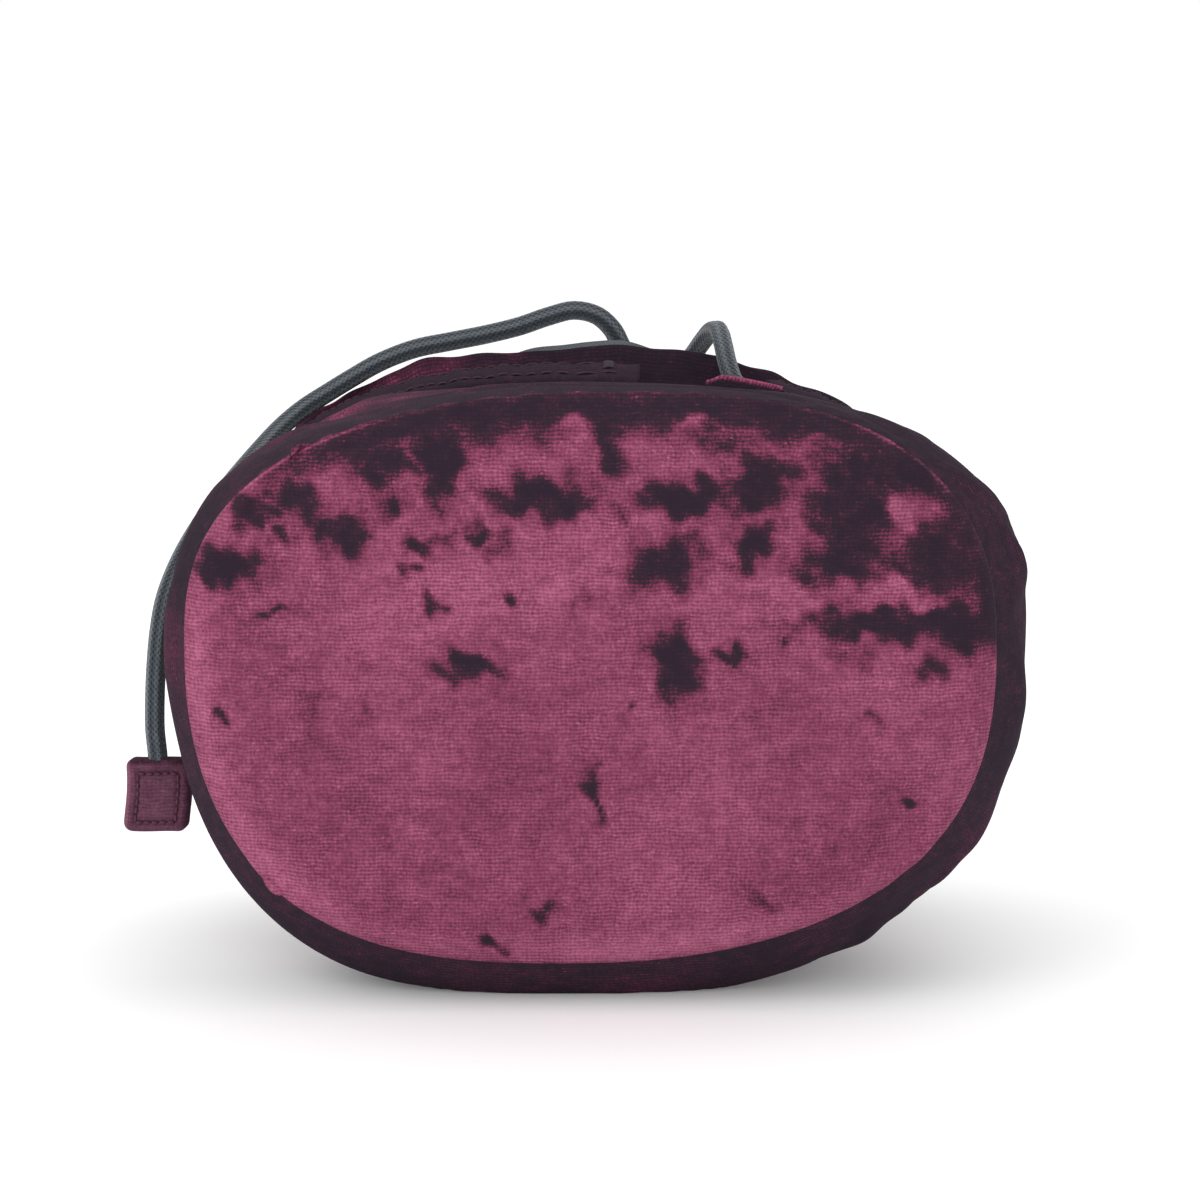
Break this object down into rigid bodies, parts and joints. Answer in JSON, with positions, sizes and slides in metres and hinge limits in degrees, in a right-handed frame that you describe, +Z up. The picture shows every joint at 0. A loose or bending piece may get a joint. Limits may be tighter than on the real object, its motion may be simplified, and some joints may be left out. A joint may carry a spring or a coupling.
{
  "type": "drawstring pouch",
  "caption": "Velvet drawstring pouch with a padded oval base, a corded neck and a stitched pull tab, for rosin and small instrument accessories.",
  "frame": {"origin": "middle of the pouch's footprint on the surface that it lies on", "axes": "+X along the long side of the oval base, -Y out of the base, +Y out of the mouth, +Z up"},
  "size_m": [0.1894, 0.1232, 0.1387],
  "materials": {
    "velvet_base": "crushed velvet, raspberry red, nap brushed down",
    "velvet_wall": "crushed velvet, wine red that looks almost black across the nap",
    "velvet_tab": "crushed velvet, wine red",
    "padding": "polyester wadding",
    "board": "pressed paper board",
    "lining": "smooth grey lining cloth",
    "cord": "braided polyester cord, dark slate",
    "thread": "sewing thread"
  },
  "bodies": {
    "pouch": {"base_panel": "velvet_base", "base_padding": "padding", "base_board": "board", "base_lining": "lining", "wall_panel": "velvet_wall", "wall_lining": "lining", "mouth_casing": "velvet_wall", "casing_stitching_front": "thread", "casing_stitching_rear": "thread", "cord_end_tack": "thread", "drawcord_in_casing": "cord", "drawcord_run": "cord"},
    "tail": {"drawcord_tail": "cord", "pull_tab": "velvet_tab", "pull_tab_stitching": "thread"}
  },
  "joints": [
    {"name": "tail_swing", "type": "hinge", "parent": "pouch", "child": "tail", "pos_m": [-0.092, -0.0176, 0.0786], "axis": [0, 1, 0], "range_deg": [0, 75]}
  ]
}
